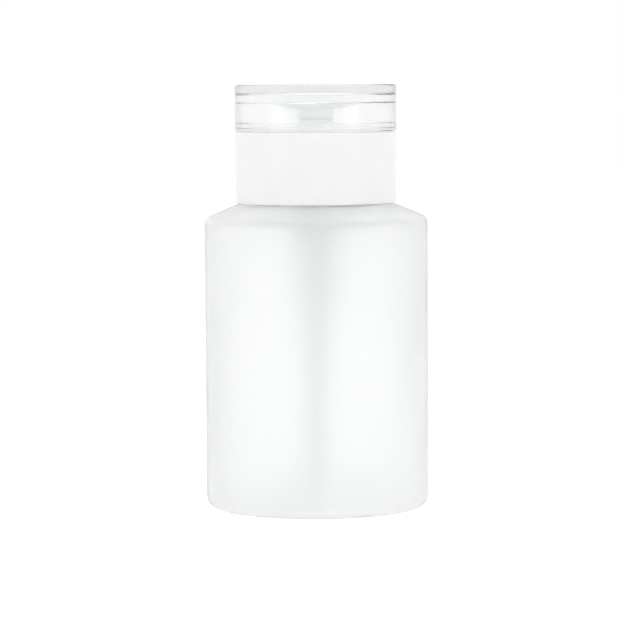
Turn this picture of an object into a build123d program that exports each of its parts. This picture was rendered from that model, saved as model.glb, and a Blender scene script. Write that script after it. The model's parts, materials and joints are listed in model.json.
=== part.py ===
from build123d import *
import os
from math import radians, sqrt, tan

# Push-dish pump bottle with a flip lid. Millimetres, +Z up, front is -Y, origin on the table under the axis.
# The press dish stands raised, the lid is closed and the closure is screwed tight.

# Bottle
BODY_R = 30.0
WALL = 1.2
BASE_EDGE = 2.8
SHOULDER_Z = 77.7
SHOULDER_ROUND = 2.6
LEDGE_R = 20.9
LEDGE_Z = 81.5
FOOT_IN_R = 23.0
PUNT_Z = 1.8
FLOOR_T = 1.3

# Neck and its right-hand thread
NECK_R = 15.4
NECK_BORE_R = 13.4
NECK_TOP_Z = 88.6
THREAD_PITCH = 3.0
THREAD_TURNS = 1.25
THREAD_Z = 83.4
THREAD_DEPTH = 1.0
THREAD_BASE_W = 1.3
THREAD_CREST_W = 0.7
THREAD_BITE = 0.25

# Stack on the neck's rim
GASKET_T = 0.8
FLANGE_R = 16.4
FLANGE_T = 1.0
CAP_TOP_T = 1.1
FLANGE_Z = NECK_TOP_Z + GASKET_T
CAP_PLATE_Z = FLANGE_Z + FLANGE_T
CAP_TOP_Z = CAP_PLATE_Z + CAP_TOP_T

# Screw cap inside the collar
CAP_BORE_R = 16.75
CAP_R = 18.2
CAP_FOOT_Z = 82.4
CAP_HOLE_R = 8.4
SPLINES = 24
SPLINE_W = 2.1
CAP_SPLINE_R = 19.5
CAP_SPLINE_FOOT_Z = 83.2

# Collar
COLLAR_R = 21.5
COLLAR_BORE_R = 19.95
COLLAR_FOOT_Z = 81.75
COLLAR_TOP_Z = 100.75
SPIGOT_R = 20.6
SPIGOT_H = 0.8
RETAINER_T = 0.8
RETAINER_IN_R = 17.2
SNAP_BEAD_Z = 82.5
SNAP_BEAD_T = 0.6
SNAP_BEAD_IN_R = 19.05

# Flip lid and its hinge at the back
LID_R = 21.6
LID_FOOT_Z = 100.95
LID_TOP_Z = 113.3
LID_TOP_T = 2.2
FOOT_RING_TOP_Z = 103.2
FOOT_BORE_R = 20.75
FOOT_BORE_Z = 101.75
FOOT_RING_IN_R = 19.9
MID_WALL_IN_R = 20.5
TOP_RING_Z = 108.4
TOP_RING_IN_R = 19.6
NOTCH_W = 8.0
NOTCH_TOP_Z = 102.6
HINGE_Y = 22.9
HINGE_Z = 100.0
HINGE_R = 1.4
KNUCKLE_HALF_W = 4.8
LUG_IN_X = 5.1
LUG_OUT_X = 7.9
TRUNNION_R = 0.75
LUG_HOLE_R = 0.8
HINGE_WEB_TOP_Z = 102.5

# Seal plug under the lid
PLUG_DISC_R = 12.2
PLUG_DISC_EDGE_Z = 108.5
PLUG_DOME_Z = 106.8
PLUG_TUBE_R = 4.85
PLUG_TUBE_IN_R = 3.5
PLUG_FOOT_Z = 104.2
PLUG_ROOF_Z = 108.0

# Press dish
STROKE = 5.5
DISH_R = 19.4
DISH_RIM_Z = 101.0
DISH_RIM_W = 1.1
DISH_SKIRT_Z = 98.2
DISH_FLOOR_Z = 99.9
DISH_T = 1.2
NOZZLE_R = 4.85
NOZZLE_TOP_Z = 104.1
BOSS_R = 4.6
BOSS_FOOT_Z = 97.2
STEM_SOCKET_TOP_Z = 101.7
OUTLET_SEAT_R = 2.6
OUTLET_SEAT_Z = 102.3
OUTLET_SLOTS = 4
OUTLET_SLOT_W = 0.9

# Stem and chaplet
STEM_R = 2.9
STEM_BORE_R = 1.6
STEM_FOOT_Z = 73.5
STOP_RING_R = 4.4
STOP_RING_H = 1.4
CHAPLET_FOOT_Z = 86.0
CHAPLET_TUBE_R = 5.12
CHAPLET_BORE_R = 2.98
CHAPLET_FLANGE_R = 8.0
CHAPLET_FLANGE_T = 0.9
SOCKET_PLAY = 0.02

# Pump cylinder
BARREL_R = 6.2
BARREL_BORE_R = 5.2
BARREL_STEP_Z = 70.0
CYLINDER_R = 5.0
CYLINDER_BORE_R = 4.0
CYLINDER_TOP_Z = 75.0
TAPER_TOP_Z = 57.0
TAPER_FOOT_Z = 50.5
TAIL_R = 3.3
TAIL_Z = 48.0
SPRING_SEAT_Z = 56.6
CHAMBER_R = 2.3
THROAT_R = 1.2
THROAT_Z = 51.6
SEAT_Z = 52.2
VENT_R = 0.5
VENT_Z = 77.5
NIB_R = 1.75
NIB_W = 0.6
NIB_H = 0.6
BALL_R = 1.9
BALL_PLAY = 0.06

# Spring, rod and piston
SPRING_WIRE_R = 0.3
SPRING_R = 3.1
SPRING_TURNS = 6
SPRING_TOP_Z = 68.1
ROD_FLANGE_R = 3.6
ROD_FLANGE_T = 0.9
ROD_PILOT_R = 2.4
ROD_PILOT_H = 1.5
ROD_NECK_R = 1.2
ROD_TOP_Z = 79.0
ROD_FLAT_HALF_W = 1.0
PISTON_GAP = 0.15
PISTON_H = 3.7
PISTON_LIP_R = 3.95
PISTON_WAIST_R = 3.0
PISTON_HUB_R = 2.3
PISTON_BORE_R = 1.35
PISTON_LIP_DEPTH = 1.2

# Dip tube
DIP_R = 2.2
DIP_BORE_R = 1.6
DIP_FOOT_Z = 4.6
DIP_CUT_DEG = 30


def turned(*corners):
    """Solid of revolution about Z. Each corner is (radius, height) or (radius, height, rounding)."""
    points = [(corner[0], corner[1]) for corner in corners]
    roundings = [corner[2] if len(corner) > 2 else 0 for corner in corners]
    outline = FilletPolyline(*points, radius=roundings, close=True)
    return revolve(Plane.XZ * make_face(outline), Axis.Z)


def ring(outer_r, inner_r, low_z, high_z):
    """Plain ring about Z."""
    return turned((inner_r, low_z), (outer_r, low_z), (outer_r, high_z), (inner_r, high_z))


def block(low, high):
    """Box between two opposite corners."""
    size = [high[i] - low[i] for i in range(3)]
    middle = [(high[i] + low[i]) / 2 for i in range(3)]
    return Pos(*middle) * Box(*size)


def around_x(radius, low_x, high_x):
    """Round bar on the hinge axis between two X positions."""
    return Pos((low_x + high_x) / 2, HINGE_Y, HINGE_Z) * Rot(0, 90, 0) * Cylinder(radius, high_x - low_x)


def thread_ridge(root_r, crest_r, start_z, start_deg, turns):
    """One right-hand thread ridge; its root is sunk a little into the wall that carries it."""
    out = 1 if crest_r > root_r else -1
    sunk_r = root_r - out * THREAD_BITE
    section = Polyline(
        (sunk_r, -THREAD_BASE_W / 2),
        (crest_r, -THREAD_CREST_W / 2),
        (crest_r, THREAD_CREST_W / 2),
        (sunk_r, THREAD_BASE_W / 2),
        close=True,
    )
    path = Helix(THREAD_PITCH, THREAD_PITCH * turns, root_r)
    ridge = sweep(Plane.XZ * make_face(section), path=path, is_frenet=True)
    return Pos(0, 0, start_z) * Rot(0, 0, start_deg) * ridge


def splines(inner_r, outer_r, low_z, high_z, first_deg):
    """Ring of drive ribs about Z."""
    rib = block((inner_r, -SPLINE_W / 2, low_z), (outer_r, SPLINE_W / 2, high_z))
    return [Rot(0, 0, first_deg + i * 360 / SPLINES) * rib for i in range(SPLINES)]


def bottle():
    """Blow-moulded shell: foot ring with a raised punt, straight wall, sloped shoulder and screw neck."""
    outer = turned(
        (0, PUNT_Z),
        (FOOT_IN_R - 8, PUNT_Z, 12),
        (FOOT_IN_R, 0, 0.8),
        (BODY_R, 0, BASE_EDGE),
        (BODY_R, SHOULDER_Z, SHOULDER_ROUND),
        (LEDGE_R, LEDGE_Z, 1.0),
        (NECK_R, LEDGE_Z, 0.4),
        (NECK_R, NECK_TOP_Z, 0.3),
        (0, NECK_TOP_Z),
    )
    inner_r = BODY_R - WALL
    inner = turned(
        (0, PUNT_Z + FLOOR_T),
        (FOOT_IN_R - 8, PUNT_Z + FLOOR_T, 12),
        (FOOT_IN_R + 1, FLOOR_T, 0.8),
        (inner_r, FLOOR_T, BASE_EDGE - 1),
        (inner_r, SHOULDER_Z - WALL, SHOULDER_ROUND - 1),
        (LEDGE_R - 0.5, LEDGE_Z - WALL, 0.8),
        (NECK_BORE_R, LEDGE_Z - WALL, 1.0),
        (NECK_BORE_R, NECK_TOP_Z + 1),
        (0, NECK_TOP_Z + 1),
    )
    thread = thread_ridge(NECK_R, NECK_R + THREAD_DEPTH, THREAD_Z, 0, THREAD_TURNS)
    return outer + thread - inner


def neck_gasket():
    """Soft flat ring between the neck's rim and the pump's flange."""
    return ring(FLANGE_R - 0.2, NECK_BORE_R + 0.1, NECK_TOP_Z, FLANGE_Z)


def screw_cap():
    """Threaded inner closure that clamps the pump's flange down on the neck."""
    shell = turned(
        (CAP_BORE_R, CAP_FOOT_Z),
        (CAP_R, CAP_FOOT_Z),
        (CAP_R, CAP_TOP_Z, 0.5),
        (CAP_HOLE_R, CAP_TOP_Z),
        (CAP_HOLE_R, CAP_PLATE_Z),
        (CAP_BORE_R, CAP_PLATE_Z),
    )
    half_pitch = THREAD_PITCH / 2
    start_deg = 150
    start_z = THREAD_Z - half_pitch + THREAD_PITCH * start_deg / 360
    thread = thread_ridge(CAP_BORE_R, CAP_BORE_R - THREAD_DEPTH, start_z, start_deg, 1)
    ribs = splines(CAP_R - 0.4, CAP_SPLINE_R, CAP_SPLINE_FOOT_Z, CAP_TOP_Z - 0.6, 0)
    return shell + thread + ribs


def collar_sleeve():
    """Outer collar: drive ribs and a snap bead grip the screw cap, lugs at the back carry the lid."""
    shell = turned(
        (COLLAR_BORE_R, COLLAR_FOOT_Z, 0.3),
        (COLLAR_R, COLLAR_FOOT_Z, 0.5),
        (COLLAR_R, COLLAR_TOP_Z, 0.35),
        (SPIGOT_R, COLLAR_TOP_Z),
        (SPIGOT_R, COLLAR_TOP_Z + SPIGOT_H, 0.2),
        (COLLAR_BORE_R, COLLAR_TOP_Z + SPIGOT_H, 0.2),
    )
    retainer = ring(COLLAR_BORE_R + 0.3, RETAINER_IN_R, CAP_TOP_Z, CAP_TOP_Z + RETAINER_T)
    bead = ring(COLLAR_BORE_R + 0.3, SNAP_BEAD_IN_R, SNAP_BEAD_Z, SNAP_BEAD_Z + SNAP_BEAD_T)
    ribs = splines(CAP_R + 0.25, COLLAR_BORE_R + 0.4, CAP_SPLINE_FOOT_Z - 0.3, CAP_TOP_Z, 180 / SPLINES)
    sleeve = shell + retainer + bead + ribs - around_x(HINGE_R + 0.35, -LUG_IN_X, LUG_IN_X)
    for side in (-1, 1):
        low_x, high_x = sorted((side * LUG_IN_X, side * LUG_OUT_X))
        web = block((low_x, COLLAR_BORE_R - 0.4, HINGE_Z - HINGE_R), (high_x, HINGE_Y, HINGE_Z + 0.6))
        web -= Pos(0, 0, HINGE_Z) * Cylinder(COLLAR_BORE_R + 0.4, 6)
        sleeve += web + around_x(HINGE_R, low_x, high_x)
        sleeve -= around_x(LUG_HOLE_R, low_x, high_x)
    return sleeve


def flip_lid():
    """Clear lid: flat top, stepped wall, thumb notch in front, knuckle with two trunnions at the back."""
    shell = turned(
        (0, LID_TOP_Z),
        (LID_R, LID_TOP_Z, 0.5),
        (LID_R, LID_FOOT_Z, 0.25),
        (FOOT_BORE_R, LID_FOOT_Z),
        (FOOT_BORE_R, FOOT_BORE_Z),
        (FOOT_RING_IN_R, FOOT_BORE_Z, 0.25),
        (FOOT_RING_IN_R, FOOT_RING_TOP_Z, 0.25),
        (MID_WALL_IN_R, FOOT_RING_TOP_Z),
        (MID_WALL_IN_R, TOP_RING_Z),
        (TOP_RING_IN_R, TOP_RING_Z, 0.25),
        (TOP_RING_IN_R, LID_TOP_Z - LID_TOP_T, 0.6),
        (0, LID_TOP_Z - LID_TOP_T),
    )
    notch = block(
        (-NOTCH_W / 2, -LID_R - 1, LID_FOOT_Z - 1), (NOTCH_W / 2, -FOOT_BORE_R - 0.3, NOTCH_TOP_Z)
    )
    web = block(
        (-KNUCKLE_HALF_W, FOOT_BORE_R - 1, LID_FOOT_Z), (KNUCKLE_HALF_W, HINGE_Y + 0.4, HINGE_WEB_TOP_Z)
    )
    web = chamfer(web.edges().filter_by(Axis.X).group_by(Axis.Z)[-1].sort_by(Axis.Y)[-1], 1.1)
    web -= Pos(0, 0, LID_FOOT_Z) * Cylinder(FOOT_BORE_R, 6)
    knuckle = around_x(HINGE_R, -KNUCKLE_HALF_W, KNUCKLE_HALF_W)
    trunnions = around_x(TRUNNION_R, -LUG_OUT_X + 0.3, LUG_OUT_X - 0.3)
    return shell - notch + web + knuckle + trunnions


def seal_plug():
    """Soft plug under the lid: shallow domed disc with a tube that closes on the nozzle."""
    return turned(
        (0, LID_TOP_Z - LID_TOP_T),
        (PLUG_DISC_R, LID_TOP_Z - LID_TOP_T),
        (PLUG_DISC_R, PLUG_DISC_EDGE_Z, 0.5),
        (PLUG_TUBE_R + 2.6, PLUG_DOME_Z, 12),
        (PLUG_TUBE_R, PLUG_DOME_Z, 0.4),
        (PLUG_TUBE_R, PLUG_FOOT_Z, 0.3),
        (PLUG_TUBE_IN_R, PLUG_FOOT_Z, 0.3),
        (PLUG_TUBE_IN_R, PLUG_ROOF_Z, 1.2),
        (0, PLUG_ROOF_Z),
    )


def press_dish():
    """Wide shallow dish with a raised nozzle in the middle and a boss underneath for the stem."""
    floor_r = DISH_R - DISH_RIM_W - 1.6
    return turned(
        (STEM_BORE_R, STEM_SOCKET_TOP_Z),
        (STEM_R + SOCKET_PLAY, STEM_SOCKET_TOP_Z),
        (STEM_R + SOCKET_PLAY, BOSS_FOOT_Z),
        (BOSS_R, BOSS_FOOT_Z),
        (BOSS_R, DISH_FLOOR_Z - DISH_T, 0.6),
        (DISH_R - DISH_RIM_W, DISH_FLOOR_Z - DISH_T, 0.3),
        (DISH_R - DISH_RIM_W, DISH_SKIRT_Z),
        (DISH_R, DISH_SKIRT_Z, 0.3),
        (DISH_R, DISH_RIM_Z, 0.5),
        (DISH_R - DISH_RIM_W, DISH_RIM_Z, 0.6),
        (floor_r, DISH_FLOOR_Z, 3.0),
        (NOZZLE_R, DISH_FLOOR_Z, 0.8),
        (NOZZLE_R, NOZZLE_TOP_Z, 0.5),
        (OUTLET_SEAT_R, NOZZLE_TOP_Z, 0.2),
        (OUTLET_SEAT_R, OUTLET_SEAT_Z),
        (STEM_BORE_R, OUTLET_SEAT_Z),
    )


def outlet_insert():
    """Small plug in the nozzle; the dose comes up through its edge slots."""
    low_z = OUTLET_SEAT_Z
    high_z = NOZZLE_TOP_Z - 0.15
    plug_r = OUTLET_SEAT_R - SOCKET_PLAY
    plug = turned((0, low_z), (plug_r, low_z), (plug_r, high_z, 0.2), (0, high_z))
    slot = block((plug_r - 1.2, -OUTLET_SLOT_W / 2, low_z - 1), (plug_r + 1, OUTLET_SLOT_W / 2, high_z + 1))
    for i in range(OUTLET_SLOTS):
        plug -= Rot(0, 0, 45 + i * 360 / OUTLET_SLOTS) * slot
    return plug


def pump_stem():
    """Hollow stem with the ring that stops it under the chaplet."""
    ring_top_z = CHAPLET_FOOT_Z - 0.1
    return turned(
        (STEM_BORE_R, STEM_FOOT_Z),
        (STEM_R, STEM_FOOT_Z, 0.2),
        (STEM_R, ring_top_z - STOP_RING_H),
        (STOP_RING_R, ring_top_z - STOP_RING_H, 0.3),
        (STOP_RING_R, ring_top_z),
        (STEM_R, ring_top_z),
        (STEM_R, STEM_SOCKET_TOP_Z, 0.2),
        (STEM_BORE_R, STEM_SOCKET_TOP_Z),
    )


def piston_rod():
    """Valve rod: spring pilot and flange below, waist through the piston, flat-sided shank in the stem."""
    flange_top_z = SPRING_TOP_Z + ROD_FLANGE_T
    shank_r = STEM_BORE_R - SOCKET_PLAY
    rod = turned(
        (0, SPRING_TOP_Z - ROD_PILOT_H),
        (ROD_PILOT_R, SPRING_TOP_Z - ROD_PILOT_H, 0.3),
        (ROD_PILOT_R, SPRING_TOP_Z),
        (ROD_FLANGE_R, SPRING_TOP_Z, 0.15),
        (ROD_FLANGE_R, flange_top_z, 0.15),
        (ROD_NECK_R, flange_top_z, 0.1),
        (ROD_NECK_R, STEM_FOOT_Z, 0.1),
        (shank_r, STEM_FOOT_Z + 0.3),
        (shank_r, ROD_TOP_Z, 0.3),
        (0, ROD_TOP_Z),
    )
    for side in (-1, 1):
        near_y, far_y = sorted((side * ROD_FLAT_HALF_W, side * 3))
        rod -= block((-3, near_y, STEM_FOOT_Z + 0.2), (3, far_y, ROD_TOP_Z + 1))
    return rod


def piston():
    """Sliding piston: hub on the rod, wiper lips up and down against the cylinder's bore."""
    low_z = SPRING_TOP_Z + ROD_FLANGE_T + PISTON_GAP
    high_z = low_z + PISTON_H
    return turned(
        (PISTON_BORE_R, low_z),
        (PISTON_HUB_R, low_z),
        (PISTON_HUB_R, low_z + PISTON_LIP_DEPTH, 0.2),
        (PISTON_WAIST_R, low_z + PISTON_LIP_DEPTH, 0.2),
        (PISTON_LIP_R - 0.35, low_z + 0.3),
        (PISTON_LIP_R, low_z + 0.3),
        (PISTON_WAIST_R + 0.3, low_z + PISTON_LIP_DEPTH + 0.5, 0.3),
        (PISTON_WAIST_R + 0.3, high_z - PISTON_LIP_DEPTH - 0.5, 0.3),
        (PISTON_LIP_R, high_z - 0.3),
        (PISTON_LIP_R - 0.35, high_z - 0.3),
        (PISTON_WAIST_R, high_z - PISTON_LIP_DEPTH, 0.2),
        (PISTON_HUB_R, high_z - PISTON_LIP_DEPTH, 0.2),
        (PISTON_HUB_R, high_z),
        (PISTON_BORE_R, high_z),
    )


def chaplet():
    """Snap-in guide that closes the cylinder's top round the stem."""
    return turned(
        (CHAPLET_BORE_R, CHAPLET_FOOT_Z, 0.2),
        (CHAPLET_TUBE_R, CHAPLET_FOOT_Z, 0.3),
        (CHAPLET_TUBE_R, CAP_PLATE_Z),
        (CHAPLET_FLANGE_R, CAP_PLATE_Z),
        (CHAPLET_FLANGE_R, CAP_PLATE_Z + CHAPLET_FLANGE_T, 0.3),
        (CHAPLET_BORE_R, CAP_PLATE_Z + CHAPLET_FLANGE_T, 0.3),
    )


def pump_housing():
    """Pump cylinder with its clamping flange, ball seat, ball nibs and dip tube socket."""
    housing = turned(
        (DIP_R + SOCKET_PLAY, TAIL_Z),
        (TAIL_R, TAIL_Z, 0.3),
        (TAIL_R, TAPER_FOOT_Z, 1.0),
        (CYLINDER_R, TAPER_TOP_Z, 2.0),
        (CYLINDER_R, BARREL_STEP_Z, 0.4),
        (BARREL_R, BARREL_STEP_Z + 0.8, 0.4),
        (BARREL_R, FLANGE_Z, 0.6),
        (FLANGE_R, FLANGE_Z),
        (FLANGE_R, CAP_PLATE_Z),
        (BARREL_BORE_R, CAP_PLATE_Z),
        (BARREL_BORE_R, CYLINDER_TOP_Z + 0.6),
        (CYLINDER_BORE_R, CYLINDER_TOP_Z),
        (CYLINDER_BORE_R, SPRING_SEAT_Z),
        (CHAMBER_R, SPRING_SEAT_Z),
        (CHAMBER_R, SEAT_Z + CHAMBER_R - THROAT_R),
        (THROAT_R, SEAT_Z),
        (THROAT_R, THROAT_Z),
        (DIP_R + SOCKET_PLAY, THROAT_Z),
    )
    nib = block((NIB_R, -NIB_W / 2, SPRING_SEAT_Z - NIB_H), (CHAMBER_R + 0.3, NIB_W / 2, SPRING_SEAT_Z))
    nibs = [Rot(0, 0, i * 120) * nib for i in range(3)]
    vent = Pos(BARREL_R, 0, VENT_Z) * Rot(0, 90, 0) * Cylinder(VENT_R, 3)
    return housing + nibs - vent


def inlet_ball():
    """Ball of the inlet valve, resting on the 45 degree seat."""
    centre_z = SEAT_Z - THROAT_R + BALL_R * sqrt(2) + BALL_PLAY
    return Pos(0, 0, centre_z) * Sphere(BALL_R)


def return_spring():
    """Coil spring between the cylinder's seat and the rod's flange."""
    low_z = SPRING_SEAT_Z + SPRING_WIRE_R + SOCKET_PLAY
    high_z = SPRING_TOP_Z - SPRING_WIRE_R - SOCKET_PLAY
    path = Helix((high_z - low_z) / SPRING_TURNS, high_z - low_z, SPRING_R)
    section = Plane.XZ * Pos(SPRING_R, 0) * Circle(SPRING_WIRE_R)
    return Pos(0, 0, low_z) * sweep(section, path=path, is_frenet=True)


def dip_tube():
    """Suction tube, pushed into the cylinder's tail and cut slanting at its foot."""
    tube = ring(DIP_R, DIP_BORE_R, DIP_FOOT_Z, THROAT_Z)
    drop = DIP_R * tan(radians(DIP_CUT_DEG))
    cut = Pos(0, 0, DIP_FOOT_Z + drop) * Rot(0, DIP_CUT_DEG, 0) * Pos(0, 0, -10) * Box(30, 30, 20)
    return tube - cut


PARTS = {
    "bottle": bottle,
    "neck_gasket": neck_gasket,
    "screw_cap": screw_cap,
    "collar_sleeve": collar_sleeve,
    "flip_lid": flip_lid,
    "seal_plug": seal_plug,
    "press_dish": press_dish,
    "outlet_insert": outlet_insert,
    "pump_stem": pump_stem,
    "piston_rod": piston_rod,
    "piston": piston,
    "chaplet": chaplet,
    "pump_housing": pump_housing,
    "inlet_ball": inlet_ball,
    "return_spring": return_spring,
    "dip_tube": dip_tube,
}

os.makedirs("parts", exist_ok=True)
for name, make in PARTS.items():
    export_step(make(), f"parts/{name}.step")
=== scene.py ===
import json
from math import cos, exp, pi, radians, sin, tan

import bmesh
import bpy
from mathutils import Matrix, Vector, noise

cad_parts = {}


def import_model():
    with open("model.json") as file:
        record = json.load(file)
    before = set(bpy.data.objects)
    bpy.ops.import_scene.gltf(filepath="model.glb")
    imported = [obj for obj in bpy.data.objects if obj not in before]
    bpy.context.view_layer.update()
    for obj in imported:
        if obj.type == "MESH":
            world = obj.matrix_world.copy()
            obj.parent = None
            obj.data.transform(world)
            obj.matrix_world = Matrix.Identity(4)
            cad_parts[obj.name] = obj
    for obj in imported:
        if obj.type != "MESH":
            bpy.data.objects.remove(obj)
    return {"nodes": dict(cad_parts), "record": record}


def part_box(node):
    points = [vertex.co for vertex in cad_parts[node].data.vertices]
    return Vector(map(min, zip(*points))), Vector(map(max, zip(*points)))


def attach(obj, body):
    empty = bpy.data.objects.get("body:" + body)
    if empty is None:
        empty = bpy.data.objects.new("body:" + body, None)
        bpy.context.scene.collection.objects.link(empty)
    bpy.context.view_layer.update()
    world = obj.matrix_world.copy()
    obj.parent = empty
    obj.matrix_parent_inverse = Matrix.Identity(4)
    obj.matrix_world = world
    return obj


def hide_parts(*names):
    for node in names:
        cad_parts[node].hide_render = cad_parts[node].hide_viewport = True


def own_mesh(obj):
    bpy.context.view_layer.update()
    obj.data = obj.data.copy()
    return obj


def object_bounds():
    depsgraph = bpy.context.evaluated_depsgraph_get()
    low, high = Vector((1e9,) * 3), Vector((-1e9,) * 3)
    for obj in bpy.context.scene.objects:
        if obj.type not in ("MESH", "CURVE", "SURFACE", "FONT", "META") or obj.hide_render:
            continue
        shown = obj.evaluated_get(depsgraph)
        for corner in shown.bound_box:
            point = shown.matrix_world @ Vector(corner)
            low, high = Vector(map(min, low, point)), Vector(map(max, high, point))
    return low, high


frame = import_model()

# Push-dish pump bottle with a flip lid. Metres, +Z up, front is -Y, the floor is at Z = 0.
CAD_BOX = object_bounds()
MM = 0.001
NODES = frame["nodes"]
SLOTS = {part["node"]: part["material_slot"] for part in frame["record"]["subparts"]}


# ---------------------------------------------------------------- materials

class Shader:
    """A node material being built round one Principled shader."""

    def __init__(self, name):
        self.material = bpy.data.materials.new(name)
        self.material.use_nodes = True
        self.tree = self.material.node_tree
        self.tree.nodes.clear()
        self.output = self.tree.nodes.new("ShaderNodeOutputMaterial")
        self.surface = self.tree.nodes.new("ShaderNodeBsdfPrincipled")
        self.tree.links.new(self.surface.outputs["BSDF"], self.output.inputs["Surface"])
        self.place = self.tree.nodes.new("ShaderNodeTexCoord").outputs["Object"]

    def set(self, **values):
        """Values that are the same all over the surface."""
        for key, value in values.items():
            self.surface.inputs[key.replace("_", " ")].default_value = value
        return self

    def node(self, kind, inputs):
        """A new node with each input set to a value or linked to another node's output."""
        made = self.tree.nodes.new(kind)
        for key, value in inputs.items():
            if hasattr(value, "is_output"):
                self.tree.links.new(value, made.inputs[key])
            else:
                made.inputs[key].default_value = value
        return made

    def stretched(self, scale):
        """Object coordinates scaled along each axis."""
        return self.node("ShaderNodeMapping", {"Vector": self.place, "Scale": scale}).outputs["Vector"]

    def noise(self, size_mm, detail=3.0, roughness=0.55, vector=None):
        """Noise with features about size_mm across."""
        inputs = {"Vector": vector or self.place, "Scale": 1 / (size_mm * MM)}
        inputs.update({"Detail": detail, "Roughness": roughness})
        return self.node("ShaderNodeTexNoise", inputs).outputs["Fac"]

    def span(self, value, low, high, from_low=0.3, from_high=0.7):
        """Number from low to high as a value rises from from_low to from_high."""
        inputs = {"Value": value, "From Min": from_low, "From Max": from_high}
        inputs.update({"To Min": low, "To Max": high})
        return self.node("ShaderNodeMapRange", inputs).outputs["Result"]

    def tone(self, value, dark, light, low=0.3, high=0.7):
        """Colour from dark to light as a value rises from low to high."""
        ramp = self.node("ShaderNodeValToRGB", {"Fac": value})
        ramp.color_ramp.elements[0].position = low
        ramp.color_ramp.elements[0].color = (*dark, 1)
        ramp.color_ramp.elements[1].position = high
        ramp.color_ramp.elements[1].color = (*light, 1)
        return ramp.outputs["Color"]

    def drive(self, socket, value):
        """Links a node's output to a socket of the shader."""
        self.tree.links.new(value, self.surface.inputs[socket])
        return self

    def absorb(self, colour, density):
        """Light lost along the way through solid plastic, per metre."""
        volume = self.node("ShaderNodeVolumeAbsorption", {"Color": (*colour, 1), "Density": density})
        self.tree.links.new(volume.outputs["Volume"], self.output.inputs["Volume"])

    def bump(self, height, depth_mm, strength):
        """Relief in the surface, depth_mm from low to high."""
        inputs = {"Height": height, "Distance": depth_mm * MM, "Strength": strength}
        return self.drive("Normal", self.node("ShaderNodeBump", inputs).outputs["Normal"])


def frosted_plastic():
    """Bead-blasted blow-moulded wall: milky, with a fine grain and slow thickness changes."""
    shade = Shader("frosted_plastic")
    shade.set(IOR=1.35, Transmission_Weight=0.85, Specular_IOR_Level=0.42)
    drawn = shade.stretched((1, 1, 0.3))
    clouds = shade.noise(16, 2, 0.5, drawn)
    grain = shade.noise(0.28, 2, 0.6)
    shade.drive("Base Color", shade.tone(clouds, (0.965, 0.969, 0.969), (0.98, 0.983, 0.983)))
    shade.drive("Roughness", shade.span(shade.noise(5, 3, 0.6, drawn), 0.47, 0.54))
    return shade.bump(grain, 0.012, 0.7).material


def white_plastic():
    """Opaque satin moulding with the faint grain of a spark-eroded tool."""
    shade = Shader("white_plastic")
    shade.set(IOR=1.5, Coat_Weight=0.12, Coat_Roughness=0.22, Subsurface_Weight=0.12)
    shade.set(Subsurface_Radius=(0.0022, 0.0021, 0.002), Subsurface_Scale=1.0)
    clouds = shade.noise(9, 3, 0.55)
    shade.drive("Base Color", shade.tone(clouds, (0.8, 0.805, 0.805), (0.82, 0.823, 0.822)))
    shade.drive("Roughness", shade.span(shade.noise(2.5, 4, 0.6), 0.3, 0.4))
    return shade.bump(shade.noise(0.22, 3, 0.6), 0.006, 0.6).material


def white_inner_plastic():
    """Plain moulded white of the parts inside, paler and less glossy than the collar."""
    shade = Shader("white_inner_plastic")
    shade.set(IOR=1.5, Subsurface_Weight=0.2)
    shade.set(Subsurface_Radius=(0.0018, 0.0017, 0.0016), Subsurface_Scale=1.0)
    shade.drive("Base Color", shade.tone(shade.noise(5), (0.89, 0.895, 0.89), (0.92, 0.922, 0.918)))
    shade.drive("Roughness", shade.span(shade.noise(1.5, 4), 0.38, 0.5))
    return shade.bump(shade.noise(0.35, 3), 0.008, 0.6).material


def clear_plastic():
    """Polished clear lid: faint handling haze and long shallow flow waves."""
    shade = Shader("clear_plastic")
    shade.set(IOR=1.53, Transmission_Weight=1.0)
    haze = shade.noise(6, 4, 0.6)
    shade.drive("Base Color", shade.tone(haze, (0.96, 0.966, 0.966), (0.98, 0.984, 0.984)))
    shade.drive("Roughness", shade.span(haze, 0.1, 0.16))
    waves = shade.noise(7, 1, 0.4, shade.stretched((1, 1, 0.35)))
    shade.absorb((0.1, 0.14, 0.14), 4.8)
    return shade.bump(waves, 0.05, 0.35).material


def natural_plastic(name="natural_plastic", light=0.955, clarity=0.1):
    """Uncoloured translucent moulding, waxy and slightly cloudy."""
    shade = Shader(name)
    shade.set(IOR=1.45, Transmission_Weight=clarity)
    milk = (light, light + 0.005, light + 0.005)
    dark = [channel - 0.012 for channel in milk]
    pale = [channel + 0.012 for channel in milk]
    shade.drive("Base Color", shade.tone(shade.noise(4, 3, 0.5), dark, pale))
    shade.drive("Roughness", shade.span(shade.noise(1.8, 3), 0.28, 0.4))
    return shade.bump(shade.noise(0.5, 3), 0.008, 0.5).material


def tube_plastic():
    """Extruded dip tube with faint lines along its length."""
    shade = Shader("tube_plastic")
    shade.set(IOR=1.51, Transmission_Weight=0.75)
    lines = shade.noise(0.35, 2, 0.5, shade.stretched((1, 1, 0.02)))
    shade.drive("Base Color", shade.tone(lines, (0.82, 0.83, 0.83), (0.86, 0.865, 0.865)))
    shade.drive("Roughness", shade.span(lines, 0.2, 0.32))
    return shade.bump(lines, 0.004, 0.5).material


def piston_plastic():
    """Soft waxy wiper."""
    shade = Shader("piston_plastic")
    shade.set(IOR=1.5, Subsurface_Weight=0.35)
    shade.set(Subsurface_Radius=(0.002, 0.0019, 0.0018), Subsurface_Scale=1.0)
    shade.drive("Base Color", shade.tone(shade.noise(2), (0.86, 0.862, 0.855), (0.9, 0.9, 0.895)))
    shade.drive("Roughness", shade.span(shade.noise(0.8, 4), 0.42, 0.55))
    return shade.bump(shade.noise(0.3), 0.006, 0.5).material


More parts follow.
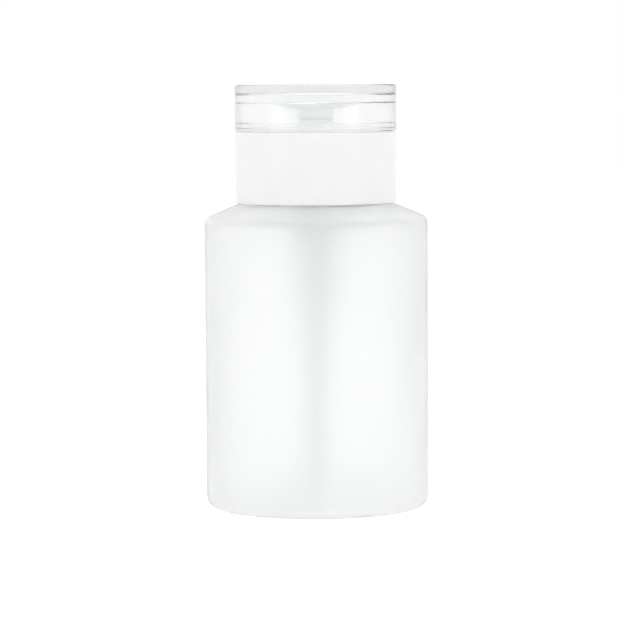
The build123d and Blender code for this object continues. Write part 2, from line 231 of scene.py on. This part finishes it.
def seal_foam():
    """Closed-cell foam of the neck gasket."""
    shade = Shader("seal_foam")
    voronoi = shade.node("ShaderNodeTexVoronoi", {"Vector": shade.place, "Scale": 1 / (0.22 * MM)})
    cells = voronoi.outputs["Distance"]
    shade.drive("Base Color", shade.tone(cells, (0.8, 0.8, 0.79), (0.88, 0.88, 0.87), 0.1, 0.6))
    shade.drive("Roughness", shade.span(cells, 0.75, 0.92, 0.1, 0.6))
    return shade.bump(cells, 0.03, 0.8).material


def spring_steel():
    """Drawn stainless wire with fine die lines."""
    shade = Shader("spring_steel")
    shade.set(Metallic=1.0)
    lines = shade.noise(0.12, 4, 0.6, shade.stretched((1, 1, 2.5)))
    shade.drive("Base Color", shade.tone(lines, (0.52, 0.52, 0.53), (0.68, 0.68, 0.69)))
    shade.drive("Roughness", shade.span(lines, 0.2, 0.36))
    return shade.bump(lines, 0.004, 0.5).material


def ball_steel():
    """Polished ball with a trace of fine swirl."""
    shade = Shader("ball_steel")
    shade.set(Metallic=1.0)
    swirl = shade.noise(0.6, 5, 0.65)
    shade.drive("Base Color", shade.tone(swirl, (0.7, 0.7, 0.71), (0.8, 0.8, 0.81)))
    shade.drive("Roughness", shade.span(swirl, 0.06, 0.14))
    return shade.bump(swirl, 0.002, 0.4).material


MAKERS = (
    frosted_plastic, white_plastic, white_inner_plastic, clear_plastic, natural_plastic,
    tube_plastic, piston_plastic, seal_foam, spring_steel, ball_steel,
)
MATERIALS = {make.__name__: make() for make in MAKERS}
# The pump cylinder is a clearer moulding than the other natural parts, and darker as painted shade: its
# darker colour stands in for the dimness inside the bottle.
SHADED_PUMP_PLASTIC = natural_plastic("natural_plastic_pump_painted_shade", 0.84, 0.25)

for name, node in NODES.items():
    node.data.materials.clear()
    node.data.materials.append(SHADED_PUMP_PLASTIC if name == "pump_housing" else MATERIALS[SLOTS[name]])


# ---------------------------------------------------------------- shapes

# A lathe's point this near the axis is one vertex, not a ring.
ON_AXIS = 1e-9


def rounded(corners, step=radians(7)):
    """Points (radius, height) along an outline. A corner (radius, height, rounding) turns on an arc."""
    points = []
    for i, corner in enumerate(corners):
        here = Vector(corner[:2])
        if len(corner) < 3:
            points.append(here)
            continue
        rounding = corner[2]
        back = (Vector(corners[i - 1][:2]) - here).normalized()
        ahead = (Vector(corners[i + 1][:2]) - here).normalized()
        half = back.angle(ahead) / 2
        centre = here + (back + ahead).normalized() * rounding / sin(half)
        start = here + back * rounding / tan(half) - centre
        sweep = pi - 2 * half
        if back.x * ahead.y - back.y * ahead.x > 0:
            sweep = -sweep
        count = max(2, round(abs(sweep) / step))
        points += [centre + Matrix.Rotation(sweep * k / count, 2) @ start for k in range(count + 1)]
    return points


def divided(points, run):
    """The outline with its long runs cut into equal pieces about as long as run."""
    cut = [points[0]]
    for start, end in zip(points, points[1:]):
        count = max(1, round((end - start).length / run))
        cut += [start.lerp(end, k / count) for k in range(1, count + 1)]
    return cut


def mesh_piece(name, shape, body, slot):
    """Finishes a bmesh as a smooth piece that rides on a body and has a slot's material."""
    bmesh.ops.recalc_face_normals(shape, faces=shape.faces)
    mesh = bpy.data.meshes.new(name)
    shape.to_mesh(mesh)
    shape.free()
    mesh.shade_smooth()
    mesh.materials.append(MATERIALS[slot])
    piece = bpy.data.objects.new(name, mesh)
    bpy.context.scene.collection.objects.link(piece)
    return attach(piece, body)


def plain(radius, height, angle):
    """No relief."""
    return radius, height


def evenly_round(count):
    """Angles of a lathe's columns."""
    return [2 * pi * k / count for k in range(count)]


def lathe(rows, angles):
    """Turns an outline that starts and ends on the axis. Each row is a point of the outline and its relief,
    a function that takes a radius, height and angle and returns the radius and height to use."""
    shape = bmesh.new()
    rings = []
    for point, relief in rows:
        if point.x < ON_AXIS:
            rings.append([shape.verts.new((0, 0, point.y))])
            continue
        ring = []
        for angle in angles:
            radius, height = relief(point.x, point.y, angle)
            ring.append(shape.verts.new((radius * cos(angle), radius * sin(angle), height)))
        rings.append(ring)
    count = len(angles)
    for low, high in zip(rings, rings[1:]):
        for k in range(count):
            n = (k + 1) % count
            if len(low) == 1:
                shape.faces.new((low[0], high[k], high[n]))
            elif len(high) == 1:
                shape.faces.new((low[k], high[0], low[n]))
            else:
                shape.faces.new((low[k], high[k], high[n], low[n]))
    return shape


def smooth_step(value):
    """0 below 0, 1 above 1 and a smooth rise between."""
    value = min(1, max(0, value))
    return value * value * (3 - 2 * value)


def bell(offset, width):
    """1 on a line and a smooth fall to 0 on both sides of it."""
    return exp(-((offset / width) ** 2))


# ---------------------------------------------------------------- bottle

BODY_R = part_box("bottle")[1].x
WALL = 1.2 * MM
BODY_IN_R = BODY_R - WALL
BASE_ROUND = 2.8 * MM
BASE_IN_ROUND = BASE_ROUND - 1 * MM
SHOULDER_Z = 77.7 * MM
SHOULDER_ROUND = 2.6 * MM
SHOULDER_IN_ROUND = SHOULDER_ROUND - 1 * MM
LEDGE_R = 20.9 * MM
LEDGE_Z = 81.5 * MM
LEDGE_ROUND = 1.0 * MM
LEDGE_IN_R = LEDGE_R - 0.5 * MM
LEDGE_IN_ROUND = 0.8 * MM

# The foot is a ring, and the punt inside it is raised.
FLOOR_T = 1.3 * MM
FOOT_IN_R = 23.0 * MM
FOOT_ROUND = 0.8 * MM
FLOOR_IN_R = FOOT_IN_R + 1 * MM
PUNT_R = 15.0 * MM
PUNT_Z = 1.8 * MM
PUNT_ROUND = 12 * MM

NECK_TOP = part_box("bottle")[1].z
NECK_R = 15.4 * MM
NECK_FOOT_ROUND = 0.4 * MM
NECK_BORE_R = 13.4 * MM
NECK_BORE_ROUND = 1.0 * MM
NECK_RIM_ROUND = 0.3 * MM
NECK_RIM_R = NECK_BORE_R + 0.4 * MM

THREAD_PITCH = 3.0 * MM
THREAD_TURNS = 1.25
THREAD_Z = 83.4 * MM
THREAD_DEPTH = 1.0 * MM
THREAD_BASE_W = 1.3 * MM
THREAD_CREST_W = 0.7 * MM
THREAD_FADE = radians(14)
THREAD_FROM_Z = LEDGE_Z + 0.5 * MM
FINE_FROM_Z = LEDGE_Z + 0.3 * MM

# The mould's parting line runs up both sides of the wall, in the plane Y = 0.
SEAM_H = 0.07 * MM
SEAM_W = 0.16 * MM
SEAM_FROM_R = FOOT_IN_R + 5 * MM
# The pinched-off end of the blown tube leaves a short line across the punt.
PINCH_H = 0.25 * MM
PINCH_W = 0.45 * MM
PINCH_HALF_LENGTH = 12 * MM
PINCH_FADE = 3 * MM
PINCH_FROM_Z = 0.6 * PUNT_Z
# The wall's thickness changes slowly, inside the body only.
WAVE_H = 0.1 * MM
WAVE_SIZE = 22 * MM
WAVE_LEVEL = 0.3
WAVES_FROM_R = NECK_BORE_R * 1.2

BOTTLE_COLUMNS = 224
# Angles of extra columns beside each parting line.
SEAM_COLUMNS = [side * share * SEAM_W / BODY_R for side in (-1, 1) for share in (0.45, 0.9, 1.4, 2.2)]
OUTER_RUN = 1.6 * MM
INNER_RUN = 2.0 * MM
THREAD_RUN = 0.14 * MM


def thread_height(angle, height):
    """How far the neck's thread stands out at this angle and height: a trapezoid that fades in and out."""
    flank = (THREAD_BASE_W - THREAD_CREST_W) / 2
    first = angle % (2 * pi)
    end = THREAD_TURNS * 2 * pi
    best = 0
    for along in (first, first + 2 * pi):
        if along > end:
            continue
        off = abs(height - THREAD_Z - THREAD_PITCH * along / (2 * pi))
        rise = min(1, max(0, (THREAD_BASE_W / 2 - off) / flank))
        best = max(best, rise * smooth_step(min(along, end - along) / THREAD_FADE))
    return best * THREAD_DEPTH


def outer_relief(radius, height, angle):
    """Neck thread, parting line on the wall and pinch line on the punt."""
    off_seam = radius * abs(sin(angle))
    if height > THREAD_FROM_Z:
        radius += thread_height(angle, height)
    elif radius > SEAM_FROM_R:
        radius += SEAM_H * (bell(off_seam, SEAM_W) - 1)
    elif height > PINCH_FROM_Z and radius < PINCH_HALF_LENGTH:
        fade = smooth_step((PINCH_HALF_LENGTH - radius) / PINCH_FADE)
        height -= PINCH_H * fade * bell(off_seam, PINCH_W)
    return radius, height


def inner_relief(radius, height, angle):
    """Slow waves of wall thickness."""
    if radius > WAVES_FROM_R:
        place = Vector((cos(angle), sin(angle), height / radius)) * radius / WAVE_SIZE
        radius += WAVE_H * (noise.noise(place) - WAVE_LEVEL)
    return radius, height


def bottle_rows():
    """The outline up the outside of the bottle to the neck's rim and down the inside, with its reliefs."""
    outside = divided(rounded([
        (0, PUNT_Z),
        (PUNT_R, PUNT_Z, PUNT_ROUND),
        (FOOT_IN_R, 0, FOOT_ROUND),
        (BODY_R, 0, BASE_ROUND),
        (BODY_R, SHOULDER_Z, SHOULDER_ROUND),
        (LEDGE_R, LEDGE_Z, LEDGE_ROUND),
        (NECK_R, LEDGE_Z, NECK_FOOT_ROUND),
        (NECK_R, NECK_TOP, NECK_RIM_ROUND),
        (NECK_RIM_R, NECK_TOP),
    ]), OUTER_RUN)
    neck = next(i for i, point in enumerate(outside) if point.y > FINE_FROM_Z)
    outside = outside[:neck] + divided(outside[neck:], THREAD_RUN)
    inside = divided(rounded([
        (NECK_RIM_R, NECK_TOP),
        (NECK_BORE_R, NECK_TOP, NECK_RIM_ROUND),
        (NECK_BORE_R, LEDGE_Z - WALL, NECK_BORE_ROUND),
        (LEDGE_IN_R, LEDGE_Z - WALL, LEDGE_IN_ROUND),
        (BODY_IN_R, SHOULDER_Z - WALL, SHOULDER_IN_ROUND),
        (BODY_IN_R, FLOOR_T, BASE_IN_ROUND),
        (FLOOR_IN_R, FLOOR_T, FOOT_ROUND),
        (PUNT_R, PUNT_Z + FLOOR_T, PUNT_ROUND),
        (0, PUNT_Z + FLOOR_T),
    ]), INNER_RUN)
    return [(point, outer_relief) for point in outside] + [(point, inner_relief) for point in inside[1:]]


def bottle():
    """The frosted shell with its neck, with extra columns at the parting line."""
    angles = evenly_round(BOTTLE_COLUMNS)
    angles += [side + extra for side in (0, pi) for extra in SEAM_COLUMNS]
    angles = sorted(angle % (2 * pi) for angle in angles)
    piece = mesh_piece("bottle_shell", lathe(bottle_rows(), angles), "bottle", "frosted_plastic")
    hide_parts("bottle")


# ---------------------------------------------------------------- return spring

SPRING_LOW, SPRING_HIGH = (corner.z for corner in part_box("return_spring"))
SPRING_LENGTH = SPRING_HIGH - SPRING_LOW
WIRE_R = 0.3 * MM
COIL_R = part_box("return_spring")[1].x - WIRE_R
ACTIVE_TURNS = 5
CLOSED_TURNS = 1
CLOSED_RISE = 2.1 * WIRE_R
GROUND_HEIGHT = 0.6 * WIRE_R
WIRE_SIDES = 14
RINGS_PER_TURN = 48


def return_spring():
    """Compression spring with closed ends, ground flat to GROUND_HEIGHT below the wire's centre."""
    low = SPRING_LOW + GROUND_HEIGHT
    active_rise = SPRING_LENGTH - 2 * GROUND_HEIGHT - 2 * CLOSED_TURNS * CLOSED_RISE
    turns = ACTIVE_TURNS + 2 * CLOSED_TURNS
    shape = bmesh.new()
    rings = []
    for i in range(turns * RINGS_PER_TURN + 1):
        turn = i / RINGS_PER_TURN
        free = min(max(turn - CLOSED_TURNS, 0), ACTIVE_TURNS)
        height = low + CLOSED_RISE * (turn - free) + active_rise * free / ACTIVE_TURNS
        out = Vector((cos(2 * pi * turn), sin(2 * pi * turn), 0))
        centre = out * COIL_R + Vector((0, 0, height))
        ring = []
        for angle in evenly_round(WIRE_SIDES):
            point = centre + (out * cos(angle) + Vector((0, 0, 1)) * sin(angle)) * WIRE_R
            point.z = min(max(point.z, SPRING_LOW), SPRING_HIGH)
            ring.append(shape.verts.new(point))
        rings.append(ring)
    for here, ahead in zip(rings, rings[1:]):
        for k in range(WIRE_SIDES):
            n = (k + 1) % WIRE_SIDES
            shape.faces.new((here[k], ahead[k], ahead[n], here[n]))
    shape.faces.new(reversed(rings[0]))
    shape.faces.new(rings[-1])
    piece = mesh_piece("coil_spring", shape, "pump_unit", "spring_steel")
    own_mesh(piece)
    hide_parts("return_spring")


# ---------------------------------------------------------------- seal plug

PLUG_DISC_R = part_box("seal_plug")[1].x
PLUG_FOOT_Z, PLUG_TOP_Z = (corner.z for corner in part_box("seal_plug"))
PLUG_TOP_ROUND = 0.15 * MM
PLUG_EDGE_Z = 108.5 * MM
PLUG_EDGE_ROUND = 0.5 * MM
PLUG_TUBE_R = 4.85 * MM
PLUG_TUBE_IN_R = 3.5 * MM
PLUG_TUBE_ROUND = 0.3 * MM
PLUG_DOME_R = PLUG_TUBE_R + 2.6 * MM
PLUG_DOME_Z = 106.8 * MM
PLUG_DOME_ROUND = 12 * MM
PLUG_DOME_FOOT_ROUND = 0.4 * MM
PLUG_ROOF_Z = 108.0 * MM
PLUG_ROOF_ROUND = 1.2 * MM
AIR_GAP = 0.06 * MM
PLUG_COLUMNS = 128
PLUG_RUN = 0.5 * MM


def seal_plug():
    """Domed disc and tube under the lid, with a thin film of air between the disc and the clear plate."""
    outline = divided(rounded([
        (0, PLUG_TOP_Z - AIR_GAP),
        (PLUG_DISC_R, PLUG_TOP_Z - AIR_GAP, PLUG_TOP_ROUND),
        (PLUG_DISC_R, PLUG_EDGE_Z, PLUG_EDGE_ROUND),
        (PLUG_DOME_R, PLUG_DOME_Z, PLUG_DOME_ROUND),
        (PLUG_TUBE_R, PLUG_DOME_Z, PLUG_DOME_FOOT_ROUND),
        (PLUG_TUBE_R, PLUG_FOOT_Z, PLUG_TUBE_ROUND),
        (PLUG_TUBE_IN_R, PLUG_FOOT_Z, PLUG_TUBE_ROUND),
        (PLUG_TUBE_IN_R, PLUG_ROOF_Z, PLUG_ROOF_ROUND),
        (0, PLUG_ROOF_Z),
    ]), PLUG_RUN)
    shape = lathe([(point, plain) for point in outline], evenly_round(PLUG_COLUMNS))
    piece = mesh_piece("seal_disc", shape, "lid", "natural_plastic")
    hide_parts("seal_plug")


bottle()
seal_plug()
return_spring()


# ---------------------------------------------------------------- floor, light and camera

FLOOR_R = 3.0
FLOOR_GLOW = 0.4


def floor():
    """Round pale floor, far wider than the view."""
    shade = Shader("floor_paper")
    shade.drive("Base Color", shade.tone(shade.noise(60, 3), (0.62, 0.62, 0.62), (0.64, 0.64, 0.64)))
    shade.set(Roughness=0.85, Emission_Color=(1, 1, 1, 1), Emission_Strength=FLOOR_GLOW)
    mesh = bpy.data.meshes.new("floor")
    shape = bmesh.new()
    bmesh.ops.create_circle(shape, cap_ends=True, segments=96, radius=FLOOR_R)
    shape.to_mesh(mesh)
    shape.free()
    mesh.materials.append(shade.material)
    piece = bpy.data.objects.new("floor", mesh)
    bpy.context.scene.collection.objects.link(piece)


def soft_box(name, place, target, size, power):
    """Rectangular area light aimed at a point."""
    data = bpy.data.lights.new(name, "AREA")
    data.shape = "RECTANGLE"
    data.size, data.size_y = size
    data.energy = power
    lamp = bpy.data.objects.new(name, data)
    lamp.location = place
    lamp.rotation_euler = (Vector(target) - Vector(place)).to_track_quat("-Z", "Y").to_euler()
    bpy.context.scene.collection.objects.link(lamp)


def world():
    """Even white surroundings."""
    made = bpy.data.worlds.new("studio")
    made.use_nodes = True
    background = made.node_tree.nodes["Background"].inputs
    background["Color"].default_value = (1, 1, 1, 1)
    background["Strength"].default_value = 1.0
    bpy.context.scene.world = made


def light_paths():
    """Paths long enough for the clear and frosted walls that stand one behind another."""
    paths = bpy.context.scene.cycles
    paths.max_bounces = paths.transmission_bounces = 32
    paths.diffuse_bounces = paths.glossy_bounces = 12
    paths.blur_glossy = 0


CAMERA_SIDE = -0.0018
CAMERA_DISTANCE = 0.78
CAMERA_LENS = 168.5
CAMERA_PITCH = radians(4.44)
CAMERA_ROLL = radians(-0.35)


def camera():
    """Long lens from the front, level with the lid's top and tilted slightly down."""
    data = bpy.data.cameras.new("camera")
    data.sensor_width = 36
    data.lens = CAMERA_LENS
    data.clip_start = 0.01
    eye = bpy.data.objects.new("camera", data)
    eye.location = (CAMERA_SIDE, -CAMERA_DISTANCE, CAD_BOX[1][2])
    aim = Matrix.Rotation(pi / 2 - CAMERA_PITCH, 3, "X") @ Matrix.Rotation(CAMERA_ROLL, 3, "Z")
    eye.rotation_euler = aim.to_euler()
    bpy.context.scene.collection.objects.link(eye)
    bpy.context.scene.camera = eye


floor()
world()
light_paths()
soft_box("left_box", place=(-0.55, -0.35, 0.35), target=(0, 0, 0.06), size=(0.3, 0.6), power=0.3)
soft_box("right_box", place=(0.55, -0.4, 0.3), target=(0, 0, 0.06), size=(0.3, 0.6), power=0.3)
soft_box("top_box", place=(0, 0, 0.9), target=(0, 0, 0.1), size=(0.6, 0.6), power=1.0)
camera()
bpy.context.scene.view_settings.view_transform = "Standard"
